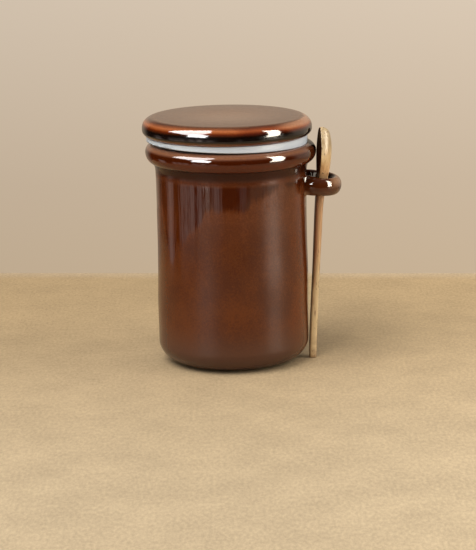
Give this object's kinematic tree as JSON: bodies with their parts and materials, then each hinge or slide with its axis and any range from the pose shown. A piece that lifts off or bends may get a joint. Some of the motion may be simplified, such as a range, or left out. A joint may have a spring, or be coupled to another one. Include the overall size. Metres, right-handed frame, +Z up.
{
  "type": "stoneware storage jar",
  "caption": "Round glazed stoneware storage jar with a rolled collar, a thick flat lid on a soft sealing ring, and a clay ring at its side that holds a small wooden spoon upright.",
  "frame": {"origin": "middle of the jar's flat foot, on the surface that it stands on", "axes": "+Z up along the jar's axis, +X towards the clay ring and the spoon, -Y towards the side seen from the front"},
  "size_m": [0.1319, 0.1136, 0.1658],
  "materials": {
    "brown_glaze": "smooth high-gloss warm brown glaze with fine speckle, breaking lighter on edges",
    "lid_glaze": "smooth high-gloss brown glaze breaking to amber round the upper edge",
    "soft_white": "soft cloudy white, slightly translucent, low sheen",
    "pale_wood": "bare pale wood with fine long grain and a few small dark flecks"
  },
  "bodies": {
    "root": {"jar": "brown_glaze", "lid": "lid_glaze", "seal": "soft_white", "spoon": "pale_wood"}
  },
  "joints": []
}
